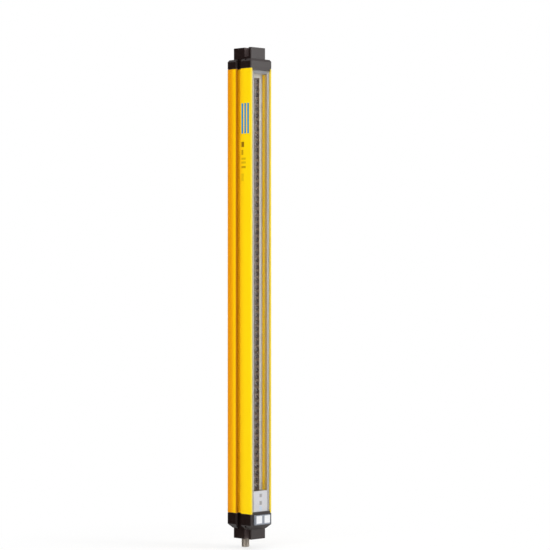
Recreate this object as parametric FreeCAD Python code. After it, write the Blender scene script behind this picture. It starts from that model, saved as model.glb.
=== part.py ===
# Safety light curtain: one unit of a sender and receiver pair, standing upright.
# Millimetres. +Z is up, the optical window faces -Y, and X runs across the window.
# The origin is the centre of the housing's section at the lower boss's end face.
import FreeCAD, Part
import math
import os

V = FreeCAD.Vector
UP = V(0, 0, 1)

# --- Driving dimensions -------------------------------------------------------------

# Optics
beam_count = 60
beam_pitch = 10.0
beams_per_module = 10
blind_below = 33.0          # housing below the protective field
blind_above = 13.0          # housing above it

# Housing extrusion
width = 42.0
depth = 50.0
corner_r = 1.5
wall = 2.2
lip_wall = 2.8              # yellow lip each side of the window
shoulder = 4.7              # ledge under the window's edge, each side
bay_depth = 8.4             # window bay, behind the seal
slot_offset = 1.5           # T-slot centre behind the housing's centre
slot_neck = 8.0
slot_chamfer = 1.5
slot_lip = 2.5
slot_cavity = 14.0
slot_depth = 8.0
slot_wall = 1.6             # metal behind a T-slot
guide_gap = 4.6             # groove that the optics flanges and boards slide in
guide_rib = 1.2
guide_lap = 0.6             # how far a guide rib covers a board's edge
port_bore_r = 1.25          # screw ports at the housing's four corners
port_wall = 3.0             # metal round a port, from its centre
front_port_inset = 3.6      # centre in from the side face
front_port_y = -12.4
rear_port_inset = 4.8
rear_port_gap = 1.3         # rear port's block behind the guide rib
pocket_gap = 1.8            # wall round the front lightening pocket

# Window
window_thick = 2.0
seal_thick = 0.6
window_end_gap = 2.6        # housing past each end of the window, filled by a cap's tongue
seal_end = 5.0              # width of the seal's cross strips
slide_gap = 0.1             # all round sliding and seated pieces

# End caps
gasket_thick = 1.0
gasket_inset = 0.4
upper_collar = 13.0
lower_collar = 22.0
upper_inset = 2.4           # slope round the top of the upper collar
upper_slope = 3.4
taper_inset = 6.0           # lower collar narrows to the boss
taper_height = 6.5
cap_floor = 6.5
cap_roof = 5.0
cap_wall = 2.6
tongue_set_back = 0.6
boss_inset = 6.5            # boss's side in from the collar's
boss_depth = 37.0
boss_r = 1.2
upper_boss = 17.0
lower_boss = 14.5
boss_slot_y = -9.1          # slot in each side of a boss, for a swivel bracket
boss_slot_width = 8.4
boss_slot_depth = 8.0
boss_slot_rest = 3.5        # plain height left between the upper slot and the collar

# Screws
screw_r = 1.5
screw_head_r = 2.6
screw_head = 2.0
screw_socket_r = 1.2
screw_socket_depth = 1.2
screw_grip = 14.0           # thread length inside a port
screw_floor = 6.0           # cap under each screw head
screw_gap = 0.2

# Optics modules
carrier_gap = 0.2
carrier_front = 9.8         # carrier face behind the housing's front
flange_thick = 2.5
board_thick = 1.6
flange_reach = 2.4          # flange and boards, beside the optics bay
lens_half = 5.2
lens_base = 1.4
lens_r = 24.0
lens_size = 9.4
channel_front = 8.6
channel_back = 4.8
spacer_wall = 1.5
front_plate = 2.0
diode_size = 3.0
diode_height = 1.9
link_width = 12.0
link_height = 14.0
link_thick = 2.6

# Control board
socket_width = 10.0
socket_height = 4.0
socket_thick = 2.8
processor_size = 11.0
processor_thick = 1.4
processor_shift = -2.5      # processor beside the middle of the board
capacitor_width = 4.3
capacitor_height = 5.0
capacitor_thick = 2.8
capacitor_spread = 7.0
plug_socket_height = 8.0    # middle of the plug ribbon's socket above the housing's end
display_socket_height = 20.0
processor_height = 14.0
capacitor_lift = 4.0        # middle of the capacitors above the housing's end
spring_height = 9.3         # foot of the earth spring above the housing's end
spring_gap = 1.1            # earth spring clear of the rear port's block
spring_bend = 1.5
spring_thick = 0.4
spring_width = 5.0
ribbon_thick = 0.5
ribbon_width = 8.0
ribbon_bend = 4.0
ribbon_turn = 18.0          # where the display ribbon turns up, behind the display board
plug_ribbon_shift = 3.0     # plug ribbon ahead of the connector's axis

# Display
hood_inset = 5.9            # hood's side in from the collar's
hood_height = 14.0
hood_proud = 4.0
hood_drop = 1.8             # hood's top edge below the housing
hood_wall = 1.4
hood_edge = 1.0
hood_plug_step = 1.6
divider_width = 5.0
digit_gap = 0.3
digit_thick = 2.4

# Round plug connector
connector_y = 8.5
connector_r = 6.0
connector_proud = 13.5
connector_wall = 1.2
connector_waist_wall = 2.0
neck_r = 6.6                # plain neck inside the boss, wider than the thread
connector_gap = 0.1
insert_recess = 9.0         # insert's face above the shell's open end
insert_step = 2.0           # where the insert's wide part ends, above the boss's end
flange_r = 7.8
nut_corner_r = 8.4
nut_hole_r = 6.0
nut_thick = 2.4
recess_r = 8.5
recess_floor = 12.0         # flange's seat above the boss's end
shell_flange = 1.8
plug_seal_thick = 0.8
pin_r = 0.4
pin_circle_r = 2.75
pin_proud = 6.5
outer_pins = 4
key_width = 1.4
plug_board_half = 4.0
plug_board_thick = 1.2
board_lift = 1.2            # plug board above the shell's flange

# --- Derived places -----------------------------------------------------------------

field = beam_count * beam_pitch
housing_length = blind_below + field + blind_above
lower_joint = lower_boss + lower_collar
housing_bottom = lower_joint + gasket_thick
housing_top = housing_bottom + housing_length
upper_joint = housing_top + gasket_thick
upper_shoulder = upper_joint + upper_collar
top = upper_shoulder + upper_boss
field_bottom = housing_bottom + blind_below
field_top = field_bottom + field

front = -depth / 2
back = depth / 2
side = width / 2
recess_half = side - lip_wall
bay_half = recess_half - shoulder
seal_back = front + window_thick + seal_thick
bay_back = seal_back + bay_depth
slot_floor = side - slot_depth
slot_rear_wall = slot_offset + slot_cavity / 2 + slot_wall
optics_bay_half = slot_floor - slot_wall
chamber_back = back - wall
chamber_half = side - wall
front_port_x = side - front_port_inset
rear_port_x = side - rear_port_inset
guide_rear = slot_rear_wall + guide_gap
rear_port_y = guide_rear + guide_rib + rear_port_gap + port_wall
carrier_y = front + carrier_front
flange_y = slot_rear_wall + carrier_gap
board_y = flange_y + flange_thick
board_back = board_y + board_thick
carrier_half = optics_bay_half - carrier_gap
flange_half = optics_bay_half + flange_reach
guide_edge = flange_half - guide_lap
lens_y = carrier_y + lens_base
window_bottom = housing_bottom + window_end_gap
window_top = housing_top - window_end_gap
boss_half = side - boss_inset
hood_half = side - hood_inset
hood_top = housing_bottom - hood_drop
hood_bottom = hood_top - hood_height
module_count = beam_count // beams_per_module
module_bottoms = [field_bottom + k * beam_pitch * beams_per_module for k in range(module_count)]
plug_socket_z = housing_bottom + plug_socket_height
display_socket_z = housing_bottom + display_socket_height
processor_z = housing_bottom + processor_height
capacitor_z = housing_bottom + capacitor_lift
spring_z = housing_bottom + spring_height
spring_x = rear_port_x - port_wall - spring_gap - spring_width / 2
ribbon_turn_y = front + cap_wall + board_thick + ribbon_turn
flange_z = recess_floor + plug_seal_thick
nut_z = flange_z + shell_flange
plug_board_z = nut_z + board_lift
plug_ribbon_y = connector_y - plug_ribbon_shift
ports = [(sx * x, y) for x, y in ((front_port_x, front_port_y), (rear_port_x, rear_port_y))
         for sx in (-1, 1)]
screwed_ports = [ports[0], ports[3]]     # diagonal pair


# --- Plain shapes -------------------------------------------------------------------

def box(x0, x1, y0, y1, z0, z1):
    return Part.makeBox(x1 - x0, y1 - y0, z1 - z0, V(x0, y0, z0))


def disc(r, x, y, z0, z1):
    return Part.makeCylinder(r, z1 - z0, V(x, y, z0), UP)


def polygon(points, z=0.0):
    corners = [V(x, y, z) for x, y in points]
    return Part.Wire(Part.makePolygon(corners + corners[:1]))


def regular_face(sides, r, x, y):
    turns = [2 * math.pi * k / sides for k in range(sides)]
    return Part.Face(polygon([(x + r * math.cos(t), y + r * math.sin(t)) for t in turns]))


def rectangle(half_x, y0, y1):
    return Part.Face(polygon([(-half_x, y0), (half_x, y0), (half_x, y1), (-half_x, y1)]))


# Rectangle with round corners, centred on the housing's axis.
def rounded_wire(half_x, half_y, r, z):
    bend = r * (1 - math.sqrt(0.5))
    edges = []
    corners = [(1, -1), (1, 1), (-1, 1), (-1, -1)]
    starts = []
    for sx, sy in corners:
        along_x = V(sx * (half_x - r), sy * half_y, z)
        along_y = V(sx * half_x, sy * (half_y - r), z)
        middle = V(sx * (half_x - bend), sy * (half_y - bend), z)
        first, last = (along_x, along_y) if sx * sy < 0 else (along_y, along_x)
        starts.append((first, middle, last))
    for i, (first, middle, last) in enumerate(starts):
        edges.append(Part.Arc(first, middle, last).toShape())
        edges.append(Part.LineSegment(last, starts[(i + 1) % 4][0]).toShape())
    return Part.Wire(edges)


def rounded_block(half_x, half_y, r, z0, z1):
    return Part.Face(rounded_wire(half_x, half_y, r, z0)).extrude(V(0, 0, z1 - z0))


# Straight-sided block, wide at y0 and narrow at y1.
def funnel(wide, narrow, y0, y1, z):
    shape = Part.makeWedge(-wide, 0, -wide, -narrow, -narrow, wide, y1 - y0, wide, narrow, narrow)
    shape.translate(V(0, y0, z))
    return shape


# Block whose outline shrinks evenly by inset between z0 and z1, with sharp corners.
def hipped_block(half_x, half_y, inset, z0, z1):
    shape = Part.makeWedge(-half_x, 0, -half_y, inset - half_y, inset - half_x,
                           half_x, abs(z1 - z0), half_y, half_y - inset, half_x - inset)
    shape.rotate(V(0, 0, 0), V(1, 0, 0), math.copysign(90, z1 - z0))
    shape.translate(V(0, 0, z0))
    return shape


def raise_face(face, z0, z1):
    solid = face.extrude(V(0, 0, z1 - z0))
    solid.translate(V(0, 0, z0))
    return solid


def both_sides(shape):
    return [shape, shape.mirror(V(0, 0, 0), V(1, 0, 0))]


def one_solid(shape):
    return shape.removeSplitter()


def group(solids):
    return Part.makeCompound(solids)


def save(name, shape):
    solids = shape.Solids
    shape = solids[0] if len(solids) == 1 else Part.makeCompound(solids)
    shape.exportStep(os.path.join("parts", name + ".step"))
    print(name, len(solids), round(shape.Volume, 1), shape.isValid())


# Flat strip with one face on a line through points (y, z), its corners bent round.
def bent_strip(points, bend, thick, strip_width, x=0.0):
    route = [V(x - strip_width / 2, y, z) for y, z in points]
    edges = []
    start = route[0]
    for before, corner, after in zip(route, route[1:], route[2:]):
        back_way = (before - corner).normalize()
        on_way = (after - corner).normalize()
        half_turn = (math.pi - back_way.getAngle(on_way)) / 2
        reach = bend * math.tan(half_turn)
        first = corner + back_way * reach
        last = corner + on_way * reach
        inward = (back_way + on_way).normalize()
        middle = corner + inward * (bend / math.cos(half_turn) - bend)
        edges.append(Part.LineSegment(start, first).toShape())
        edges.append(Part.Arc(first, middle, last).toShape())
        start = last
    edges.append(Part.LineSegment(start, route[-1]).toShape())
    strip = Part.Wire(edges).makeOffset2D(thick, fill=True, openResult=True)
    return strip.extrude(V(strip_width, 0, 0))


# --- Housing ------------------------------------------------------------------------

# Room that the T-slot takes from one side, as seen along the housing.
def slot_outline():
    neck = slot_neck / 2
    mouth = neck + slot_chamfer
    cavity = slot_cavity / 2
    inner = side - slot_lip
    points = [(side + 1, mouth), (side, mouth), (side - slot_chamfer, neck), (inner, neck),
              (inner, cavity), (slot_floor, cavity)]
    points += [(x, -y) for x, y in reversed(points)]
    return polygon([(x, y + slot_offset) for x, y in points])


def housing_profile():
    outline = rounded_wire(side, depth / 2, corner_r, 0)
    section = Part.Face(outline)
    room = [
        rectangle(recess_half, front - 1, seal_back),
        rectangle(bay_half, seal_back - 1, bay_back),
        rectangle(optics_bay_half, bay_back - 1, slot_rear_wall + 1),
        rectangle(chamber_half, slot_rear_wall, chamber_back),
    ]
    kept = []
    for sx in (-1, 1):
        x0, x1 = sorted((sx * (rear_port_x - port_wall), sx * (chamber_half + 1)))
        y0 = rear_port_y - port_wall
        block = [(x0, y0), (x1, y0), (x1, chamber_back + 1), (x0, chamber_back + 1)]
        kept.append(Part.Face(polygon(block)))
    for sx in (-1, 1):
        low, high = sorted((sx * guide_edge, sx * (chamber_half + 1)))
        rib = [(low, guide_rear), (high, guide_rear)]
        rib += [(high, guide_rear + guide_rib), (low, guide_rear + guide_rib)]
        kept.append(Part.Face(polygon(rib)))
    chamber = room.pop().cut(kept)
    section = section.cut(room + [chamber])
    pocket_x = (bay_half + pocket_gap, side - pocket_gap)
    pocket_y = (seal_back + pocket_gap, front_port_y - port_wall)
    pocket = polygon([(x, y) for x, y in zip((*pocket_x, *pocket_x[::-1]), sorted(pocket_y * 2))])
    holes = both_sides(Part.Face(pocket)) + both_sides(Part.Face(slot_outline()))
    for x, y in ports:
        holes.append(Part.Face(Part.Wire(Part.makeCircle(port_bore_r, V(x, y, 0)))))
    return one_solid(raise_face(section.cut(holes), housing_bottom, housing_top))


def front_window():
    half = recess_half - slide_gap
    return box(-half, half, front, front + window_thick, window_bottom, window_top)


# Grey frame that seats the window: strips down both edges and across both ends.
def window_seal():
    half = recess_half - slide_gap
    y = front + window_thick
    frame = box(-half, half, y, seal_back, window_bottom, window_top)
    hole = box(-bay_half, bay_half, y - 1, seal_back + 1, window_bottom + seal_end,
               window_top - seal_end)
    return frame.cut(hole)


# --- End caps -----------------------------------------------------------------------

def slot_cuts(z0, z1):
    return both_sides(raise_face(Part.Face(slot_outline()), z0, z1))


def boss_cuts(z0, z1):
    y0 = boss_slot_y - boss_slot_width / 2
    slot = box(boss_half - boss_slot_depth, boss_half + 1, y0, y0 + boss_slot_width, z0, z1)
    return both_sides(slot)


# Inside of a cap: the optics bay's width, from the cap's front wall to its back wall.
def cap_room(z0, z1):
    return box(-optics_bay_half, optics_bay_half, front + cap_wall, chamber_back, z0, z1)


# Lip on a cap's joint face that fills the front recess past the window's end.
def tongue(z0, z1):
    half = recess_half - slide_gap
    return box(-half, half, front + tongue_set_back, seal_back - slide_gap, z0, z1)


# Holes for a cap's screws: a clearance hole and a seat for each head.
def screw_holes(joint, seat, outside):
    holes = []
    for x, y in screwed_ports:
        holes.append(disc(screw_r + screw_gap, x, y, *sorted((joint, outside))))
        holes.append(disc(screw_head_r + screw_gap, x, y, *sorted((seat, outside))))
    return holes


def upper_end_cap():
    collar = rounded_block(side, depth / 2, corner_r, upper_joint, upper_shoulder)
    slope_start = upper_shoulder - upper_slope
    hips = hipped_block(side, depth / 2, upper_inset, slope_start, upper_shoulder)
    plain = box(-side, side, front, back, upper_joint, slope_start)
    collar = collar.common(plain.fuse(hips))
    boss = rounded_block(boss_half, boss_depth / 2, boss_r, upper_shoulder - cap_roof, top)
    tip = window_top + slide_gap
    cap = collar.fuse([boss, tongue(tip, upper_joint + 1)])
    roof = upper_shoulder - cap_roof
    cuts = [cap_room(upper_joint - 1, roof)]
    cuts += slot_cuts(tip - 1, upper_shoulder + 1)
    cuts += boss_cuts(upper_shoulder + boss_slot_rest, top + 1)
    cuts += screw_holes(upper_joint - 1, upper_joint + screw_floor, upper_shoulder + 1)
    return one_solid(cap.cut(cuts))


def lower_end_cap():
    collar = rounded_block(side, depth / 2, corner_r, lower_boss, lower_joint)
    slope_start = lower_boss + taper_height
    hips = hipped_block(side, depth / 2, taper_inset, slope_start, lower_boss)
    plain = box(-side, side, front, back, slope_start, lower_joint)
    collar = collar.common(plain.fuse(hips))
    boss = rounded_block(boss_half, boss_depth / 2, boss_r, 0, lower_boss + cap_floor)
    tip = window_bottom - slide_gap
    cap = collar.fuse([boss, tongue(lower_joint - 1, tip)])
    cuts = [cap_room(lower_boss + cap_floor, lower_joint + 1)]
    cuts += slot_cuts(lower_boss - 1, tip + 1)
    cuts += boss_cuts(-1, lower_boss)
    cuts += screw_holes(lower_joint + 1, lower_joint - screw_floor, lower_boss - 1)
    plug_x = hood_half - hood_plug_step + slide_gap
    plug_z = hood_plug_step - slide_gap
    cuts.append(box(-plug_x, plug_x, front - 1, front + cap_wall + board_thick + 1,
                    hood_bottom + plug_z, hood_top - plug_z))
    cuts.append(disc(neck_r + connector_gap, 0, connector_y, -1, recess_floor + 1))
    cuts.append(disc(recess_r, 0, connector_y, recess_floor, lower_joint))
    return one_solid(cap.cut(cuts))


# Flat gasket between a cap and the housing, notched for the tongue and the T-slots.
def cap_gasket(z):
    half = side - gasket_inset
    plate = rounded_block(half, depth / 2 - gasket_inset, corner_r, z, z + gasket_thick)
    cuts = [box(-recess_half, recess_half, front - 1, seal_back, z - 1, z + gasket_thick + 1)]
    cuts.append(cap_room(z - 1, z + gasket_thick + 1))
    cuts += slot_cuts(z - 1, z + gasket_thick + 1)
    cuts += [disc(screw_r + screw_gap, x, y, z - 1, z + gasket_thick + 1)
             for x, y in screwed_ports]
    return one_solid(plate.cut(cuts))


# Cap screw whose head bears at z and whose shank runs to z_tip.
def cap_screw(x, y, z, z_tip):
    out = 1 if z > z_tip else -1
    shank = disc(port_bore_r, x, y, *sorted((z, z_tip)))
    head = disc(screw_head_r, x, y, *sorted((z, z + out * screw_head)))
    socket_floor = z + out * (screw_head - screw_socket_depth)
    socket = raise_face(regular_face(6, screw_socket_r, x, y),
                        *sorted((socket_floor, z + out * (screw_head + 1))))
    return shank.fuse(head).cut(socket)


# Two screws in each cap, in diagonal ports.
def cap_screws():
    upper_seat = upper_joint + screw_floor
    lower_seat = lower_joint - screw_floor
    screws = [cap_screw(x, y, upper_seat, housing_top - screw_grip) for x, y in screwed_ports]
    screws += [cap_screw(x, y, lower_seat, housing_bottom + screw_grip) for x, y in screwed_ports]
    return group(screws)


# --- Optics modules -----------------------------------------------------------------

# Carrier's section: body between the T-slots, with a flange that runs in the guide grooves.
def carrier_section():
    flange_end = board_y
    right = [(carrier_half, carrier_y), (carrier_half, flange_y), (flange_half, flange_y),
             (flange_half, flange_end)]
    left = [(-x, y) for x, y in reversed(right)]
    return Part.Face(polygon(right + left))


def optics_carrier(z0):
    length = beam_pitch * beams_per_module
    body = raise_face(carrier_section(), z0 + slide_gap, z0 + length - slide_gap)
    groove = lens_half + slide_gap
    cuts = [box(-groove, groove, carrier_y - 1, lens_y, z0 - 1, z0 + length + 1)]
    for k in range(beams_per_module):
        z = z0 + (k + 0.5) * beam_pitch
        cuts.append(funnel(channel_front / 2, channel_back / 2, lens_y, board_y, z))
    return one_solid(body.cut(cuts))


# Smoked strip of square-cut convex lenses, one for each beam.
def lens_strip(z0):
    length = beam_pitch * beams_per_module
    strip = box(-lens_half, lens_half, carrier_y, lens_y, z0 + slide_gap, z0 + length - slide_gap)
    half = lens_size / 2
    sag = lens_r - math.sqrt(lens_r ** 2 - 2 * half ** 2)
    lenses = []
    for k in range(beams_per_module):
        z = z0 + (k + 0.5) * beam_pitch
        ball = Part.makeSphere(lens_r, V(0, carrier_y - sag + lens_r, z))
        prism = box(-half, half, carrier_y - sag - 1, carrier_y + lens_base / 2, z - half, z + half)
        lenses.append(prism.common(ball))
    return one_solid(strip.fuse(lenses))


def lens_strips():
    return group([lens_strip(z0) for z0 in module_bottoms])


def optics_board(z0):
    length = beam_pitch * beams_per_module
    return box(-flange_half, flange_half, board_y, board_back, z0 + slide_gap, z0 + length - slide_gap)


def beam_diodes(z0):
    half = diode_size / 2
    diodes = []
    for k in range(beams_per_module):
        z = z0 + (k + 0.5) * beam_pitch
        diodes.append(box(-half, half, board_y - diode_height, board_y, z - half, z + half))
    return group(diodes)


# Plug bridges over each joint between two boards.
def board_links():
    half_x, half_z = link_width / 2, link_height / 2
    return group([box(-half_x, half_x, board_back, board_back + link_thick, z - half_z, z + half_z)
                  for z in module_bottoms])


# Spacer below the optics: a face behind the window's lower end, two cheeks and a flange.
def lower_spacer():
    z0, z1 = housing_bottom + slide_gap, field_bottom - slide_gap
    plate_half = bay_half - slide_gap
    body = raise_face(carrier_section(), z0, z1)
    face = box(-plate_half, plate_half, seal_back, bay_back - slide_gap, z0, z1)
    inner = carrier_half - spacer_wall
    room = box(-inner, inner, seal_back + front_plate, board_y + 1, z0 - 1, z1 + 1)
    return one_solid(body.fuse(face).cut(room))


# Spacer above the optics, closed in front, with a foot under the window's upper end.
def upper_spacer():
    z0, z1 = field_top + slide_gap, housing_top - slide_gap
    plate_half = bay_half - slide_gap
    body = raise_face(carrier_section(), z0, z1)
    foot = box(-plate_half, plate_half, seal_back, bay_back - slide_gap, window_top - seal_end, z1)
    inner = carrier_half - spacer_wall
    room = box(-inner, inner, carrier_y + front_plate, board_y + 1, z0 - 1, z1 + 1)
    return one_solid(body.fuse(foot).cut(room))


# --- Control electronics ------------------------------------------------------------

def control_board():
    return box(-flange_half, flange_half, board_y, board_back, housing_bottom + slide_gap,
               field_bottom - slide_gap)


def socket_block(z):
    half = socket_width / 2
    return box(-half, half, board_y - socket_thick, board_y, z - socket_height / 2, z + socket_height / 2)


def control_sockets():
    return group([socket_block(plug_socket_z), socket_block(display_socket_z)])


def processor():
    half = processor_size / 2
    x = processor_shift
    return box(x - half, x + half, board_back, board_back + processor_thick, processor_z - half,
               processor_z + half)


def power_capacitors():
    blocks = []
    half_x, half_z = capacitor_width / 2, capacitor_height / 2
    for x in (-capacitor_spread, 0, capacitor_spread):
        blocks.append(box(x - half_x, x + half_x, board_back, board_back + capacitor_thick,
                          capacitor_z - half_z, capacitor_z + half_z))
    return group(blocks)


# Leaf spring that earths the control board to the housing's back wall.
def earth_spring():
    reach = chamber_back - board_back - spring_thick
    foot = board_back + spring_thick
    contact = foot + reach - spring_thick
    points = [(foot, spring_z), (foot, spring_z + reach / 2), (contact, spring_z + reach * 1.4),
              (contact, spring_z + reach * 2)]
    return bent_strip(points, spring_bend, spring_thick, spring_width, spring_x)


# --- Display ------------------------------------------------------------------------

# Translucent hood over two lit fields, proud of the lower cap's front.
def display_hood():
    shell = box(-hood_half, hood_half, front - hood_proud, front, hood_bottom, hood_top)
    rim = [e for e in shell.Edges if e.BoundBox.YMax < front - hood_proud + 0.01]
    shell = shell.makeFillet(hood_edge, rim)
    plug_x = hood_half - hood_plug_step
    plug_back = front + cap_wall - slide_gap
    plug = box(-plug_x, plug_x, front, plug_back, hood_bottom + hood_plug_step, hood_top - hood_plug_step)
    hood = shell.fuse(plug)
    for sx in (-1, 1):
        low, high = sorted((sx * divider_width / 2, sx * (plug_x - hood_wall)))
        rest = hood_plug_step + hood_wall
        hood = hood.cut(box(low, high, front - hood_proud + hood_wall, plug_back + 1,
                            hood_bottom + rest, hood_top - rest))
    return one_solid(hood)


def display_board():
    half = hood_half - hood_plug_step
    y = front + cap_wall
    return box(-half, half, y, y + board_thick, hood_bottom + hood_plug_step, hood_top - hood_plug_step)


def display_digits():
    digits = []
    for sx in (-1, 1):
        inner = divider_width / 2 + digit_gap
        outer = hood_half - hood_plug_step - hood_wall - digit_gap
        low, high = sorted((sx * inner, sx * outer))
        y = front + cap_wall
        rest = hood_plug_step + hood_wall + digit_gap
        digits.append(box(low, high, y - digit_thick, y, hood_bottom + rest, hood_top - rest))
    return group(digits)


def display_ribbon():
    y0 = front + cap_wall + board_thick
    z0 = (hood_bottom + hood_top) / 2
    points = [(y0, z0), (ribbon_turn_y, z0), (ribbon_turn_y, display_socket_z),
              (board_y - socket_thick, display_socket_z)]
    return bent_strip(points, ribbon_bend, ribbon_thick, ribbon_width)


# --- Connector ----------------------------------------------------------------------

# Metal shell: open threaded end below the boss, waist through it, flange on the seat.
def connector_shell():
    y = connector_y
    shell = disc(connector_r, 0, y, -connector_proud, 0)
    shell = shell.fuse([disc(neck_r, 0, y, 0, flange_z), disc(flange_r, 0, y, flange_z, nut_z)])
    mouth = disc(connector_r - connector_wall, 0, y, -connector_proud - 1, insert_step)
    waist = disc(connector_r - connector_waist_wall, 0, y, -connector_proud, nut_z + 1)
    return one_solid(shell.cut([mouth, waist]))


# Flat rubber washer between the shell's flange and its seat.
def connector_seal():
    washer = disc(flange_r, 0, connector_y, recess_floor, recess_floor + plug_seal_thick)
    return washer.cut(disc(neck_r + connector_gap, 0, connector_y, recess_floor - 1,
                           recess_floor + plug_seal_thick + 1))


# Moulded insert with the contacts' holes, stepped to the shell's bore, and its key.
def connector_insert():
    y = connector_y
    face = insert_recess - connector_proud
    insert = disc(connector_r - connector_wall, 0, y, face, insert_step)
    insert = insert.fuse(disc(connector_r - connector_waist_wall, 0, y, insert_step, nut_z))
    key_x = key_width / 2
    key_y = y - connector_r + connector_wall
    key = box(-key_x, key_x, key_y, key_y + key_width, face - insert_recess / 2, face + 1)
    key = key.common(disc(connector_r - connector_wall, 0, y, face - insert_recess, face + 1))
    return one_solid(insert.fuse(key).cut(contact_pins()))


# Slim contacts with eight flats, one in the middle and the rest round it.
def contact_pins():
    face = insert_recess - connector_proud
    places = [(0.0, connector_y)]
    for k in range(outer_pins):
        turn = 2 * math.pi * (k + 0.5) / outer_pins - math.pi / 2
        places.append((pin_circle_r * math.cos(turn), connector_y + pin_circle_r * math.sin(turn)))
    pins = []
    for x, y in places:
        pins.append(raise_face(regular_face(8, pin_r, x, y), face - pin_proud, plug_board_z))
    return group(pins)


# Thin hexagonal nut that holds the flange on its seat.
def connector_nut():
    nut = raise_face(regular_face(6, nut_corner_r, 0, connector_y), nut_z, nut_z + nut_thick)
    return nut.cut(disc(nut_hole_r, 0, connector_y, nut_z - 1, nut_z + nut_thick + 1))


# Small square board soldered to the contacts' tails.
def plug_board():
    half = plug_board_half
    return box(-half, half, connector_y - half, connector_y + half, plug_board_z,
               plug_board_z + plug_board_thick)


def plug_ribbon():
    points = [(plug_ribbon_y, plug_board_z + plug_board_thick), (plug_ribbon_y, plug_socket_z),
              (board_y - socket_thick, plug_socket_z)]
    return bent_strip(points, ribbon_bend, ribbon_thick, ribbon_width)


# --- Files --------------------------------------------------------------------------

os.makedirs("parts", exist_ok=True)
save("housing_profile", housing_profile())
save("front_window", front_window())
save("window_seal", window_seal())
save("upper_end_cap", upper_end_cap())
save("lower_end_cap", lower_end_cap())
save("upper_cap_gasket", cap_gasket(housing_top))
save("lower_cap_gasket", cap_gasket(lower_joint))
save("cap_screws", cap_screws())
for number, z_low in enumerate(module_bottoms, 1):
    save("optics_carrier_%d" % number, optics_carrier(z_low))
    save("optics_board_%d" % number, optics_board(z_low))
    save("beam_diodes_%d" % number, beam_diodes(z_low))
save("lens_strips", lens_strips())
save("board_links", board_links())
save("lower_spacer", lower_spacer())
save("upper_spacer", upper_spacer())
save("control_board", control_board())
save("control_sockets", control_sockets())
save("processor", processor())
save("power_capacitors", power_capacitors())
save("earth_spring", earth_spring())
save("display_hood", display_hood())
save("display_board", display_board())
save("display_digits", display_digits())
save("display_ribbon", display_ribbon())
save("connector_shell", connector_shell())
save("connector_insert", connector_insert())
save("contact_pins", contact_pins())
save("connector_seal", connector_seal())
save("connector_nut", connector_nut())
save("plug_board", plug_board())
save("plug_ribbon", plug_ribbon())
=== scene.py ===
import math

import bmesh
import bpy
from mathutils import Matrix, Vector


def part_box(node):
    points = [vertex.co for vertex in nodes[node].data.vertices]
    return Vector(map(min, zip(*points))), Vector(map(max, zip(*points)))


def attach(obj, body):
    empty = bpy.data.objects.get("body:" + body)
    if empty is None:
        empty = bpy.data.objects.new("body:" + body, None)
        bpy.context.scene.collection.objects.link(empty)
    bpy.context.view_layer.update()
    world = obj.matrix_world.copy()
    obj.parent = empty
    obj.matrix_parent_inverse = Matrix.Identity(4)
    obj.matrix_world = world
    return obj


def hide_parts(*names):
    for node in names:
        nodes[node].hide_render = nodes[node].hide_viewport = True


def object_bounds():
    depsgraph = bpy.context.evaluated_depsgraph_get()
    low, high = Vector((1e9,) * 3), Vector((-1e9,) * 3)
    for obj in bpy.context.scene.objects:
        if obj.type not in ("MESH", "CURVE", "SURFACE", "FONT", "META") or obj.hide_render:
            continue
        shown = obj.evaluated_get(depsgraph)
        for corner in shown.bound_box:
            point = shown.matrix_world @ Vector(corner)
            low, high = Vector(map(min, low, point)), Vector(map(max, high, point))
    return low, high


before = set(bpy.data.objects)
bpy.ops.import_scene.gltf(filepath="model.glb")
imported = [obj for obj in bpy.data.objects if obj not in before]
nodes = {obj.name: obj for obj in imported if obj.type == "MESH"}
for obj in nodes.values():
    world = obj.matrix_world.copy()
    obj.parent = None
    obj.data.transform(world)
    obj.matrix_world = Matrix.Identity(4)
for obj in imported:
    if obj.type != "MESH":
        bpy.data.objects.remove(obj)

mm = 0.001
cadLow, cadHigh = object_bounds()
print("frame loaded:", len(nodes), "nodes")


# Small helpers for shader nodes.

def newFinish(name):
    finish = bpy.data.materials.new(name)
    finish.use_nodes = True
    return finish


def shaderOf(finish):
    return next(n for n in finish.node_tree.nodes if n.type == "BSDF_PRINCIPLED")


def addNode(finish, kind, settings=None, sockets=None):
    node = finish.node_tree.nodes.new(kind)
    for key, value in (settings or {}).items():
        setattr(node, key, value)
    for key, value in (sockets or {}).items():
        node.inputs[key].default_value = value
    return node


def wire(finish, source, target):
    finish.node_tree.links.new(source, target)


def place(finish):
    # coordinates in the object's own frame, in metres
    return addNode(finish, "ShaderNodeTexCoord").outputs["Object"]


def grain(finish, scale, detail=3.0, stretch=(1, 1, 1)):
    mapping = addNode(finish, "ShaderNodeMapping")
    mapping.inputs["Scale"].default_value = stretch
    wire(finish, place(finish), mapping.inputs["Vector"])
    noise = addNode(finish, "ShaderNodeTexNoise", sockets={"Scale": scale, "Detail": detail})
    wire(finish, mapping.outputs["Vector"], noise.inputs["Vector"])
    return noise.outputs["Fac"]


def ramp(finish, factor, stops):
    node = addNode(finish, "ShaderNodeValToRGB")
    points = node.color_ramp.elements
    while len(points) < len(stops):
        points.new(0.5)
    for point, (position, colour) in zip(points, stops):
        point.position = position
        point.color = (*colour, 1)
    wire(finish, factor, node.inputs["Fac"])
    return node.outputs["Color"]


def mottle(finish, factor, colours, start=0.3, end=0.7):
    dark, light = colours
    return ramp(finish, factor, [(start, dark), (end, light)])


def spread(finish, factor, low, high, start=0.3, end=0.7):
    node = addNode(finish, "ShaderNodeMapRange",
                   sockets={"From Min": start, "From Max": end, "To Min": low, "To Max": high})
    wire(finish, factor, node.inputs["Value"])
    return node.outputs["Result"]


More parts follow.
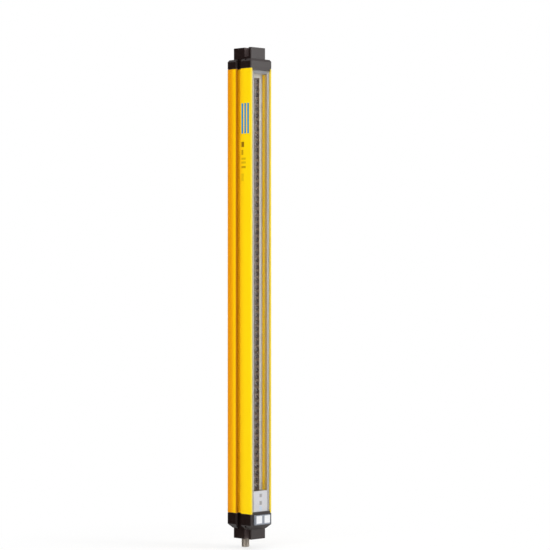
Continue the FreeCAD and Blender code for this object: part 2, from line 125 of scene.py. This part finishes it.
def relief(finish, height, strength, depth):
    bump = addNode(finish, "ShaderNodeBump", sockets={"Strength": strength, "Distance": depth})
    wire(finish, height, bump.inputs["Height"])
    wire(finish, bump.outputs["Normal"], shaderOf(finish).inputs["Normal"])


def fill(finish, socket, value):
    # value is a number, a colour or another node's output
    if isinstance(value, (int, float)):
        socket.default_value = value
    elif isinstance(value, tuple):
        socket.default_value = (*value, 1)
    else:
        wire(finish, value, socket)


def mixColours(finish, factor, first, second):
    node = addNode(finish, "ShaderNodeMix", {"data_type": "RGBA"})
    wire(finish, factor, node.inputs["Factor"])
    firstColour, secondColour = (socket for socket in node.inputs if socket.type == "RGBA")
    fill(finish, firstColour, first)
    fill(finish, secondColour, second)
    return next(socket for socket in node.outputs if socket.type == "RGBA")


def calc(finish, operation, first, second=0.0):
    node = addNode(finish, "ShaderNodeMath", {"operation": operation})
    fill(finish, node.inputs[0], first)
    fill(finish, node.inputs[1], second)
    return node.outputs[0]


def both(finish, first, second):
    return calc(finish, "MULTIPLY", first, second)


def either(finish, first, second):
    return calc(finish, "MAXIMUM", first, second)


def above(finish, coordinate, limit):
    return calc(finish, "GREATER_THAN", coordinate, limit)


def below(finish, coordinate, limit):
    return calc(finish, "LESS_THAN", coordinate, limit)


def inBand(finish, coordinate, low, high):
    return both(finish, above(finish, coordinate, low), below(finish, coordinate, high))


def inBandMm(finish, coordinate, band):
    low, high = band
    return inBand(finish, coordinate, low * mm, high * mm)


def fromMiddle(finish, x):
    return calc(finish, "ABSOLUTE", x)


def axes(finish):
    split = addNode(finish, "ShaderNodeSeparateXYZ")
    wire(finish, place(finish), split.inputs["Vector"])
    return split.outputs


def setShader(finish, values):
    shader = shaderOf(finish)
    for key, value in values.items():
        shader.inputs[key].default_value = value


def wireShader(finish, sources):
    for socket, source in sources.items():
        wire(finish, source, shaderOf(finish).inputs[socket])


def wiredTo(finish, socket):
    return shaderOf(finish).inputs[socket].links[0].from_socket


def finishPlain(name, dark, light, texture):
    # one moulded or metal finish: mottled colour, uneven gloss and a fine relief
    finish = newFinish(name)
    factor = grain(finish, texture["grain"], detail=4.0, stretch=texture.get("stretch", (1, 1, 1)))
    wireShader(finish, {"Base Color": mottle(finish, factor, (dark, light), start=0.35, end=0.65),
                        "Roughness": spread(finish, factor, *texture["gloss"])})
    relief(finish, factor, *texture["relief"])
    setShader(finish, texture.get("shader", {}))
    return finish


# Yellow paint of the extrusion, with painted glare and painted shade across its side faces, painted shade at
# the groove's mouth, and its stripes and dashes of print on the left side.
# In mm: bands lie along Y or Z, and skins and depths go in from a face. Peel and drawn lines are
# grain per metre.

paintLook = {
    "peel": 900,
    "drawn": 420,
    "drawnStretch": (1, 1, 0.01),
    "drawnShare": 0.06,
    "gloss": (0.40, 0.52),
    "relief": (0.12, 0.00005),
    "shader": {"Specular IOR Level": 0.08},
    # linear colours of the side face, by distance from the section's centre towards the back: painted glare,
    # paler and duller, on the front face and corner, painted shade by the groove, and painted shade
    # deepening to orange towards the back
    "halfDepth": 25,
    "sideColourGlareAndShade": [(-25.0, (0.70, 0.54, 0.06)), (-24.4, (0.78, 0.58, 0.03)), (-23.6, (0.92, 0.635, 0.001)),
                   (-12.0, (0.92, 0.62, 0.001)), (-4.5, (0.88, 0.52, 0.001)), (7.5, (0.90, 0.47, 0.0)),
                   (10.0, (0.92, 0.56, 0.0)), (14.0, (0.83, 0.39, 0.0)), (18.0, (0.74, 0.28, 0.0)),
                   (25.0, (0.70, 0.25, 0.0))],
    "back": (0.90, 0.56, 0.001),
    "backSkin": 0.3,
    "groove": ((0.90, 0.55, 0.004), (0.97, 0.62, 0.008)),
    "grooveBand": (-6.5, 9.0),
    "grooveDepth": 1.7,
    # painted shade on the groove's rear and front walls at its mouth: band and colour
    "mouthWallShade": [((5.3, 7.2), (0.42, 0.155, 0.0)), ((-4.2, -2.3), (0.62, 0.27, 0.0))],
    "mouthSkin": 0.05,
    "mouthDepth": 2.6,
    "sideSkin": 0.1,
    "stripes": [(-20.7, -17.1), (-14.7, -11.1), (-8.7, -5.1)],
    "stripeEnds": (589.0, 633.0),
    "stripeColour": (0.0, 0.22, 0.50),
    # band along Y, band along Z and share of the dash's colour
    "dashes": [((-10.6, -5.0), (569.4, 577.0), 0.9), ((-9.0, -5.0), (558.0, 565.4), 0.6),
               ((-14.0, -5.0), (551.0, 554.0), 0.4), ((-14.0, -5.0), (545.4, 548.4), 0.4),
               ((-14.0, -5.0), (538.6, 542.0), 0.6), ((-10.0, -5.0), (520.0, 531.0), 0.25)],
    "dashColour": (0.20, 0.085, 0.001),
}


def faceColourGlareAndShade(finish, y):
    half = paintLook["halfDepth"]
    # the ramp across the sides holds painted glare at the front corner and painted shade by the groove and
    # towards the back
    stops = [((inward + half) / (2 * half), colour) for inward, colour in paintLook["sideColourGlareAndShade"]]
    sides = ramp(finish, spread(finish, y, 0, 1, -half * mm, half * mm), stops)
    onBack = above(finish, y, cadHigh.y - paintLook["backSkin"] * mm)
    return mixColours(finish, onBack, sides, paintLook["back"])


def addGrooveAndMouthShade(finish, colour, x, y, peel):
    aside = fromMiddle(finish, x)
    inGroove = both(finish, below(finish, aside, cadHigh.x - paintLook["grooveDepth"] * mm),
                    inBandMm(finish, y, paintLook["grooveBand"]))
    colour = mixColours(finish, inGroove, colour, mottle(finish, peel, paintLook["groove"]))
    mouth = inBand(finish, aside, cadHigh.x - paintLook["mouthDepth"] * mm,
                   cadHigh.x - paintLook["mouthSkin"] * mm)
    # painted shade on the groove's walls at its mouth
    for band, shadeColour in paintLook["mouthWallShade"]:
        colour = mixColours(finish, both(finish, mouth, inBandMm(finish, y, band)), colour, shadeColour)
    return colour


def addPrint(finish, colour, x, y, z):
    onSide = below(finish, x, cadLow.x + paintLook["sideSkin"] * mm)
    stripes = 0.0
    for band in paintLook["stripes"]:
        stripes = either(finish, inBandMm(finish, y, band), stripes)
    stripes = both(finish, both(finish, stripes, onSide), inBandMm(finish, z, paintLook["stripeEnds"]))
    colour = mixColours(finish, stripes, colour, paintLook["stripeColour"])
    dashes = 0.0
    for across, along, share in paintLook["dashes"]:
        dash = both(finish, inBandMm(finish, y, across), inBandMm(finish, z, along))
        dashes = either(finish, both(finish, dash, share), dashes)
    return mixColours(finish, both(finish, dashes, onSide), colour, paintLook["dashColour"])


def housingPaint():
    finish = newFinish("yellowPowderCoat")
    x, y, z = axes(finish)
    peel = grain(finish, paintLook["peel"])
    drawn = grain(finish, paintLook["drawn"], detail=2.0, stretch=paintLook["drawnStretch"])
    colour = addGrooveAndMouthShade(finish, faceColourGlareAndShade(finish, y), x, y, peel)
    drawnLines = spread(finish, drawn, 0.0, paintLook["drawnShare"])
    colour = mixColours(finish, drawnLines, colour, paintLook["groove"][1])
    wireShader(finish, {"Base Color": addPrint(finish, colour, x, y, z),
                        "Roughness": spread(finish, drawn, *paintLook["gloss"])})
    relief(finish, peel, *paintLook["relief"])
    setShader(finish, paintLook["shader"])
    return finish


# Clear acrylic window: nearly see-through face on, a little milkier edge on.

paneLook = {"blend": 0.35, "milk": (0.008, 0.16), "milkFrom": 0.35, "smears": 60, "stretch": (1, 1, 0.2),
            "smearMilk": 0.012, "colours": ((0.66, 0.60, 0.50), (0.72, 0.66, 0.56)),
            "shader": {"Roughness": 0.06, "Specular IOR Level": 0.3}}


def windowPane():
    finish = newFinish("clearAcrylic")
    facing = addNode(finish, "ShaderNodeLayerWeight", sockets={"Blend": paneLook["blend"]}).outputs["Facing"]
    smears = grain(finish, paneLook["smears"], stretch=paneLook["stretch"])
    alpha = calc(finish, "ADD", spread(finish, facing, *paneLook["milk"], paneLook["milkFrom"], 1.0),
                 spread(finish, smears, 0.0, paneLook["smearMilk"]))
    wireShader(finish, {"Base Color": mottle(finish, smears, paneLook["colours"]), "Alpha": alpha})
    setShader(finish, paneLook["shader"])
    return finish


# Smoked lens strips, darker in a round pupil at the middle of each lens, in a lighter web that is a painted
# reflection of the lenses. Sizes in mm.

lensLook = {"pitch": 10.0, "pupil": 3.1, "edge": 0.9, "cloud": 700,
            "dark": ((0.011, 0.004, 0.003), (0.020, 0.009, 0.006)),
            "paintedReflectionWeb": ((0.076, 0.049, 0.032), (0.104, 0.069, 0.046)),
            "gloss": (0.16, 0.3), "relief": (0.3, 0.00004), "shader": {"Specular IOR Level": 0.22}}


def smokedLens():
    finish = newFinish("smokedLens")
    x, _, z = axes(finish)
    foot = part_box("lens_strips")[0].z
    pitch = lensLook["pitch"] * mm
    step = calc(finish, "MODULO", calc(finish, "SUBTRACT", z, foot), pitch)
    rise = calc(finish, "SUBTRACT", step, pitch / 2)
    away = calc(finish, "SQRT", calc(finish, "ADD", both(finish, x, x), both(finish, rise, rise)))
    pupil = spread(finish, away, 1, 0, lensLook["pupil"] * mm, (lensLook["pupil"] + lensLook["edge"]) * mm)
    cloud = grain(finish, lensLook["cloud"])
    # the lighter web round the pupils is a painted reflection on the lenses
    paintedReflectionWeb, dark = (mottle(finish, cloud, lensLook[part], start=0.35) for part in ("paintedReflectionWeb", "dark"))
    wireShader(finish, {"Base Color": mixColours(finish, pupil, paintedReflectionWeb, dark),
                        "Roughness": spread(finish, cloud, *lensLook["gloss"])})
    relief(finish, cloud, *lensLook["relief"])
    setShader(finish, lensLook["shader"])
    return finish


# Display hood: two white fields in a bluish frame, with a divider between them. Margins in mm.

hoodLook = {"edge": 1.6, "halfDivider": 2.4, "foot": 2.2, "head": 1.0, "skin": 0.3, "haze": 4000,
            "frame": ((0.214, 0.234, 0.274), (0.226, 0.246, 0.286)),
            "field": ((0.66, 0.67, 0.69), (0.675, 0.685, 0.705)),
            "gloss": (0.24, 0.30), "relief": (0.02, 0.000004), "shader": {"Specular IOR Level": 0.35}}


def hoodDiffuser():
    finish = newFinish("hoodDiffuser")
    low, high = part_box("display_hood")
    x, y, z = axes(finish)
    wide = inBand(finish, fromMiddle(finish, x), hoodLook["halfDivider"] * mm,
                  high.x - hoodLook["edge"] * mm)
    tall = inBand(finish, z, low.z + hoodLook["foot"] * mm, high.z - hoodLook["head"] * mm)
    ahead = below(finish, y, low.y + hoodLook["skin"] * mm)
    field = both(finish, wide, both(finish, tall, ahead))
    haze = grain(finish, hoodLook["haze"])
    colour = mixColours(finish, field, mottle(finish, haze, hoodLook["frame"]),
                        mottle(finish, haze, hoodLook["field"]))
    wireShader(finish, {"Base Color": colour, "Roughness": spread(finish, haze, *hoodLook["gloss"])})
    relief(finish, haze, *hoodLook["relief"])
    setShader(finish, hoodLook["shader"])
    return finish


# Textures of the plain finishes: grain per metre, range of roughness, strength and depth of relief.
matte = {"grain": 2600, "gloss": (0.36, 0.48), "relief": (0.3, 0.00005),
         "shader": {"Specular IOR Level": 0.4}}
smooth = {"grain": 1800, "gloss": (0.38, 0.48), "relief": (0.12, 0.00004)}
foam = {"grain": 3200, "gloss": (0.5, 0.7), "relief": (0.35, 0.00006)}
filmGrain = {"grain": 4000, "gloss": (0.3, 0.36), "relief": (0.05, 0.00002)}
metal = {"grain": 1500, "gloss": (0.28, 0.42), "relief": (0.15, 0.00003), "shader": {"Metallic": 1.0}}
drawnMetal = {**metal, "stretch": (1, 1, 0.05)}
drawnFilm = {**drawnMetal, "shader": {"Metallic": 0.0}}


# Near-black end caps, with a paler painted sheen on the rear walls of the slots in the bosses, and dull
# inside the
# T-slots. In mm.

capLook = {"colours": ((0.006, 0.0015, 0.001), (0.012, 0.004, 0.003)), "slotWallSheen": (0.115, 0.085, 0.082),
           "slotBack": -4.9, "slotWallSkin": 0.1, "bossHalf": 14.6, "lowerBoss": 14.4, "upperBoss": 700.9,
           "slot": (-4.4, 7.6), "slotMouth": 20.8, "slotDull": 0.5}


def capMoulding():
    finish = finishPlain("blackCapMoulding", *capLook["colours"], matte)
    x, y, z = axes(finish)
    aside = fromMiddle(finish, x)
    back, skin = capLook["slotBack"] * mm, capLook["slotWallSkin"] * mm
    bossHalf = capLook["bossHalf"] * mm
    onWall = both(finish, inBand(finish, y, back - skin, back + skin), below(finish, aside, bossHalf))
    onBoss = either(finish, below(finish, z, capLook["lowerBoss"] * mm),
                    above(finish, z, capLook["upperBoss"] * mm))
    inSlot = both(finish, inBandMm(finish, y, capLook["slot"]),
                  inBand(finish, aside, bossHalf, capLook["slotMouth"] * mm))
    # paler colour on the rear walls of the boss slots: painted sheen
    withSlotSheen = mixColours(finish, both(finish, onWall, onBoss), wiredTo(finish, "Base Color"), capLook["slotWallSheen"])
    dulled = calc(finish, "ADD", wiredTo(finish, "Roughness"), both(finish, inSlot, capLook["slotDull"]))
    wireShader(finish, {"Base Color": withSlotSheen, "Roughness": dulled})
    return finish


finishes = {
    "yellow": housingPaint(),
    "pane": windowPane(),
    "seal": finishPlain("greySealFoam", (0.265, 0.265, 0.27), (0.315, 0.315, 0.32), foam),
    "cap": capMoulding(),
    "gasket": finishPlain("gasketRubber", (0.012, 0.012, 0.012), (0.03, 0.03, 0.03), smooth),
    "screw": finishPlain("zincScrew", (0.42, 0.42, 0.43), (0.6, 0.6, 0.61), metal),
    "carrier": finishPlain("greyCarrier", (0.39, 0.375, 0.335), (0.43, 0.415, 0.37), smooth),
    "lens": smokedLens(),
    "board": finishPlain("greenBoard", (0.01, 0.09, 0.035), (0.02, 0.16, 0.06), smooth),
    "chip": finishPlain("blackChip", (0.015, 0.015, 0.017), (0.035, 0.035, 0.04), matte),
    "socket": finishPlain("creamSocket", (0.60, 0.57, 0.48), (0.72, 0.70, 0.62), smooth),
    "spring": finishPlain("springBronze", (0.55, 0.33, 0.14), (0.7, 0.46, 0.22), drawnMetal),
    "hood": hoodDiffuser(),
    "digits": finishPlain("digitFace", (0.05, 0.05, 0.055), (0.09, 0.09, 0.1), smooth),
    "ribbon": finishPlain("ribbonFilm", (0.3, 0.3, 0.32), (0.5, 0.5, 0.52), drawnFilm),
    "shell": finishPlain("nickelShell", (0.33, 0.29, 0.25), (0.46, 0.42, 0.37), metal),
    "insert": finishPlain("blackInsert", (0.012, 0.012, 0.013), (0.03, 0.03, 0.03), matte),
    "contact": finishPlain("goldContact", (0.75, 0.50, 0.16), (0.9, 0.66, 0.28), metal),
}

# A name without its number stands for the whole row of nodes.
nodeFinish = {
    "housing_profile": "yellow", "front_window": "pane", "window_seal": "seal",
    "upper_end_cap": "cap", "lower_end_cap": "cap", "upper_cap_gasket": "gasket",
    "lower_cap_gasket": "gasket", "cap_screws": "screw", "lens_strips": "lens",
    "board_links": "socket", "lower_spacer": "carrier", "upper_spacer": "carrier",
    "control_board": "board", "control_sockets": "socket", "processor": "chip",
    "power_capacitors": "chip", "earth_spring": "spring", "display_hood": "hood",
    "display_board": "board", "display_digits": "digits", "display_ribbon": "ribbon",
    "connector_shell": "shell", "connector_insert": "insert", "contact_pins": "contact",
    "connector_seal": "gasket", "connector_nut": "screw", "plug_board": "board",
    "plug_ribbon": "ribbon", "optics_carrier": "carrier", "optics_board": "board",
    "beam_diodes": "chip",
}


def finishOf(nodeName):
    return next(finishes[key] for start, key in nodeFinish.items() if nodeName.startswith(start))


for nodeName, node in nodes.items():
    node.data.materials.clear()
    node.data.materials.append(finishOf(nodeName))
print("finishes on the housing's own pieces")


# Pieces that the solids leave to the looks.

def linkMesh(mesh, name, finish):
    data = bpy.data.meshes.new(name)
    mesh.to_mesh(data)
    mesh.free()
    data.materials.append(finish)
    piece = bpy.data.objects.new(name, data)
    bpy.context.collection.objects.link(piece)
    return piece


def pieceFrom(mesh, name, finish):
    bmesh.ops.recalc_face_normals(mesh, faces=mesh.faces)
    piece = linkMesh(mesh, name, finish)
    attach(piece, "root")
    return piece


def joinRings(mesh, first, second):
    for i in range(len(first)):
        j = (i + 1) % len(first)
        mesh.faces.new((first[i], first[j], second[j], second[i]))


def addPlate(mesh, low, high, cut):
    # thin plate facing -Y, its four corners cut
    x0, y0, z0 = low
    x1, y1, z1 = high
    outline = [(x0 + cut, z0), (x1 - cut, z0), (x1, z0 + cut), (x1, z1 - cut), (x1 - cut, z1),
               (x0 + cut, z1), (x0, z1 - cut), (x0, z0 + cut)]
    front = [mesh.verts.new((x, y0, z)) for x, z in outline]
    back = [mesh.verts.new((x, y1, z)) for x, z in outline]
    mesh.faces.new(front)
    mesh.faces.new(back[::-1])
    joinRings(mesh, front, back)


# Blank white film on the back of the window's foot, with two plain marks and a spot.
# In mm; fields are X from, X to, Z from, Z to.

rating = {"gap": 0.02, "thick": 0.17, "corner": 0.6, "inkThick": 0.03, "inkCorner": 0.4,
          "film": {"fields": [(-13.4, 13.4, 40.4, 70.2)],
                   "colours": ((0.46, 0.46, 0.485), (0.485, 0.485, 0.51))},
          "marks": {"fields": [(-1.9, 2.8, 61.0, 66.0), (-1.9, 2.8, 50.0, 55.5)],
                    "colours": ((0.23, 0.22, 0.22), (0.28, 0.27, 0.27))},
          "spot": {"fields": [(-1.9, 2.8, 41.5, 48.0)],
                   "colours": ((0.38, 0.45, 0.55), (0.42, 0.49, 0.59))}}


def addFilm(name, finishName, part, y0, y1, corner):
    mesh = bmesh.new()
    for x0, x1, z0, z1 in part["fields"]:
        addPlate(mesh, (x0 * mm, y0, z0 * mm), (x1 * mm, y1, z1 * mm), corner * mm)
    pieceFrom(mesh, name, finishPlain(finishName, *part["colours"], filmGrain))


def ratingPlate():
    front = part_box("front_window")[1].y - rating["gap"] * mm
    inkFront = front - rating["inkThick"] * mm
    addFilm("ratingPlate", "plateFilm", rating["film"], front, front + rating["thick"] * mm,
            rating["corner"])
    addFilm("plateMarks", "plateInk", rating["marks"], inkFront, front, rating["inkCorner"])
    addFilm("plateSpot", "plateSpot", rating["spot"], inkFront, front, rating["inkCorner"])


# Thin tan strips lying along the front of the bay's side walls, a painted reflection on those walls. Sizes
# in mm.

sheenStripLook = {"bayHalf": 13.5, "reach": 4.2, "thick": 0.25, "corner": 0.08, "inset": 5,
           "colours": ((0.46, 0.28, 0.05), (0.54, 0.34, 0.08))}


def bayWallSheenStrips():
    low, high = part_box("window_seal")
    bayHalf, inset = sheenStripLook["bayHalf"] * mm, sheenStripLook["inset"] * mm
    # tan strips on the bay's side walls: painted reflection
    mesh = bmesh.new()
    for side in (-1, 1):
        x0, x1 = sorted((side * (bayHalf - sheenStripLook["thick"] * mm), side * bayHalf))
        addPlate(mesh, (x0, high.y, low.z + inset), (x1, high.y + sheenStripLook["reach"] * mm, high.z - inset),
                 sheenStripLook["corner"] * mm)
    sheenStrips = pieceFrom(mesh, "bayWallSheenStrips", finishPlain("bayWallSheenFilm", *sheenStripLook["colours"], smooth))


# The connector's shell again with its thread cut, up to the flange inside the cap. Sizes in mm.

thread = {"centreY": 8.5, "pitch": 1.0, "crest": 6.0, "root": 5.45, "around": 72, "steps": 8, "lead": 0.8,
          "tipDrop": 0.25, "slope": 1.8, "rootFlat": 0.3, "fade": 0.6, "runOut": 1.6,
          "bore": 4.8, "throat": 4.0, "boreEnd": 2.0, "neck": 6.6, "flange": 7.8, "flangeThick": 1.8}


def clamp(value):
    return min(1.0, max(0.0, value))


def threadRadius(depth, turn, length):
    # depth from the open end, turn from 0 to 1 round the shell
    phase = (depth / thread["pitch"] - turn) % 1.0
    ridge = clamp((1 - abs(phase - 0.5) * 2) * thread["slope"] - thread["rootFlat"])
    fade = min(clamp((depth - thread["lead"]) / thread["fade"]),
               clamp((length - depth - thread["runOut"]) / thread["fade"]))
    base = thread["root"] - thread["tipDrop"] * (1 - clamp(depth / thread["lead"]))
    return base + (thread["crest"] - base) * ridge * fade


def shellRings(openEnd, seat):
    # rings of (radius, height): up the thread, round the flange and back down the bore
    around = thread["around"]
    length = -openEnd
    stepCount = int(length * thread["steps"] / thread["pitch"])
    rings = []
    for k in range(stepCount + 1):
        depth = length * k / stepCount
        rings.append([(threadRadius(depth, j / around, length), openEnd + depth) for j in range(around)])
    under = seat - thread["flangeThick"]
    profile = [(thread["crest"], 0.0), (thread["neck"], 0.0), (thread["neck"], under),
               (thread["flange"], under), (thread["flange"], seat), (thread["throat"], seat),
               (thread["throat"], thread["boreEnd"]), (thread["bore"], thread["boreEnd"]),
               (thread["bore"], openEnd)]
    return rings + [[point] * around for point in profile]


def addRing(mesh, ring):
    verts = []
    for j, (radius, z) in enumerate(ring):
        turn = 2 * math.pi * j / thread["around"]
        y = thread["centreY"] + radius * math.sin(turn)
        verts.append(mesh.verts.new((radius * mm * math.cos(turn), y * mm, z * mm)))
    return verts


def threadedShell():
    low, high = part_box("connector_shell")
    mesh = bmesh.new()
    loops = [addRing(mesh, ring) for ring in shellRings(low.z / mm, high.z / mm)]
    for lower, upper in zip(loops, loops[1:] + loops[:1]):
        joinRings(mesh, lower, upper)
    shell = pieceFrom(mesh, "threadedShell", finishes["shell"])
    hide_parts("connector_shell")


ratingPlate()
bayWallSheenStrips()
threadedShell()
print("plate, lips and thread made")


# Floor, white to the camera and to reflections, less so near the bar. Sizes in metres.

floorLook = {"half": 9, "gap": 0.0005, "specks": 40, "colours": ((0.90, 0.90, 0.90), (0.93, 0.93, 0.93)),
             "whiteShare": (0.7, 1.0), "whiteReach": (0.03, 0.4),
             "shader": {"Roughness": 0.8, "Specular IOR Level": 0.1}}


def seenWhite(owner):
    ray = addNode(owner, "ShaderNodeLightPath").outputs
    return either(owner, either(owner, ray["Is Camera Ray"], ray["Is Glossy Ray"]),
                  ray["Is Transmission Ray"])


def mixShaders(owner, share, first, second):
    blend = addNode(owner, "ShaderNodeMixShader")
    wire(owner, share, blend.inputs["Fac"])
    wire(owner, first, blend.inputs[1])
    wire(owner, second, blend.inputs[2])
    return blend.outputs["Shader"]


def floorFinish():
    finish = newFinish("floorCard")
    specks = grain(finish, floorLook["specks"], detail=4.0)
    wireShader(finish, {"Base Color": mottle(finish, specks, floorLook["colours"])})
    setShader(finish, floorLook["shader"])
    white = addNode(finish, "ShaderNodeEmission", sockets={"Strength": 1.0})
    away = addNode(finish, "ShaderNodeVectorMath", {"operation": "LENGTH"})
    wire(finish, place(finish), away.inputs[0])
    whiteness = spread(finish, away.outputs["Value"], *floorLook["whiteShare"], *floorLook["whiteReach"])
    mixed = mixShaders(finish, both(finish, seenWhite(finish), whiteness),
                       shaderOf(finish).outputs["BSDF"], white.outputs["Emission"])
    output = next(n for n in finish.node_tree.nodes if n.type == "OUTPUT_MATERIAL")
    wire(finish, mixed, output.inputs["Surface"])
    return finish


def floorCard():
    half = floorLook["half"]
    z = cadLow.z - floorLook["gap"]
    mesh = bmesh.new()
    corners = ((-half, -half), (half, -half), (half, half), (-half, half))
    mesh.faces.new([mesh.verts.new((x, y, z)) for x, y in corners])
    floor = linkMesh(mesh, "floorCard", floorFinish())


# Black card that only reflections see, so dark mouldings keep their depth. It has a foot on the floor.
# In metres; azimuths here and below are in degrees, from the front towards +X.

cardLook = {"azimuth": -136, "distance": 1.0, "half": 0.62, "top": 1.9, "footReach": 0.94,
            "footGap": 0.0003, "colours": ((0.002, 0.002, 0.002), (0.004, 0.004, 0.004))}


def darkCard():
    finish = finishPlain("darkCard", *cardLook["colours"], smooth)
    setShader(finish, {"Specular IOR Level": 0.0})
    turn = math.radians(cardLook["azimuth"])
    centre = Vector((math.sin(turn), -math.cos(turn), 0)) * cardLook["distance"]
    aside = Vector((math.cos(turn), math.sin(turn), 0)) * cardLook["half"]
    left, right = centre - aside, centre + aside
    inward = centre * cardLook["footReach"]
    top, foot = cardLook["top"], cadLow.z - cardLook["footGap"]
    mesh = bmesh.new()
    for corners in (((left, 0), (right, 0), (right, top), (left, top)),
                    ((left, foot), (right, foot), (right - inward, foot), (left - inward, foot))):
        mesh.faces.new([mesh.verts.new((corner.x, corner.y, z)) for corner, z in corners])
    card = linkMesh(mesh, "darkCard", finish)
    card.visible_camera = card.visible_diffuse = card.visible_shadow = card.visible_transmission = False


# Lamps, all aimed at one height on the bar's axis. Sizes in metres.

aimHeight = 0.36
lamps = {
    "topSoftbox": {"azimuth": 0, "distance": 0.3, "height": 2.2, "size": (1.3, 1.3), "radiance": 2.6},
    "keySoftbox": {"azimuth": 28, "distance": 1.7, "height": 0.60, "size": (0.58, 1.7), "radiance": 8.0},
    "fillSoftbox": {"azimuth": -72, "distance": 1.7, "height": 0.50, "size": (1.40, 1.7), "radiance": 3.25},
    "rearSoftbox": {"azimuth": 140, "distance": 2.0, "height": 0.70, "size": (1.40, 1.6), "radiance": 3.0},
}


def addLamp(name, look):
    width, tall = look["size"]
    distance = look["distance"]
    lamp = bpy.data.lights.new(name, "AREA")
    lamp.shape = "RECTANGLE"
    lamp.size, lamp.size_y = width, tall
    lamp.energy = look["radiance"] * math.pi * width * tall
    holder = bpy.data.objects.new(name, lamp)
    turn = math.radians(look["azimuth"])
    holder.location = (distance * math.sin(turn), -distance * math.cos(turn), look["height"])
    aim = Vector((0, 0, aimHeight)) - holder.location
    holder.rotation_euler = aim.to_track_quat("-Z", "Y").to_euler()
    holder.visible_camera = False
    bpy.context.collection.objects.link(holder)


# World: soft light on the bar, white to the camera and to reflections.

worldLook = {"soft": 0.3, "white": 1.0}


def addBackground(world, strength):
    sockets = {"Color": (1, 1, 1, 1), "Strength": strength}
    return addNode(world, "ShaderNodeBackground", sockets=sockets).outputs["Background"]


def setWorld():
    world = bpy.data.worlds.new("studio")
    bpy.context.scene.world = world
    world.use_nodes = True
    world.node_tree.nodes.clear()
    soft, white = (addBackground(world, worldLook[key]) for key in ("soft", "white"))
    output = addNode(world, "ShaderNodeOutputWorld")
    wire(world, mixShaders(world, seenWhite(world), soft, white), output.inputs["Surface"])


cameraLook = {"azimuth": -44.6, "distance": 3.2, "aside": 0.0373, "height": 0.3838, "across": 0.803,
              "sensor": 36, "clip": (0.05, 60)}


def addCamera():
    turn = math.radians(cameraLook["azimuth"])
    ahead = Vector((-math.sin(turn), math.cos(turn), 0))
    right = Vector((math.cos(turn), math.sin(turn), 0))
    lens = bpy.data.cameras.new("viewCamera")
    lens.sensor_width = cameraLook["sensor"]
    lens.lens = cameraLook["sensor"] * cameraLook["distance"] / cameraLook["across"]
    lens.clip_start, lens.clip_end = cameraLook["clip"]
    camera = bpy.data.objects.new("viewCamera", lens)
    camera.location = (right * cameraLook["aside"] - ahead * cameraLook["distance"]
                       + Vector((0, 0, cameraLook["height"])))
    camera.rotation_euler = ahead.to_track_quat("-Z", "Y").to_euler()
    bpy.context.collection.objects.link(camera)
    bpy.context.scene.camera = camera


floorCard()
darkCard()
for name, look in lamps.items():
    addLamp(name, look)
setWorld()
addCamera()
bpy.context.scene.view_settings.view_transform = "Standard"
print("floor, lamps and camera set")
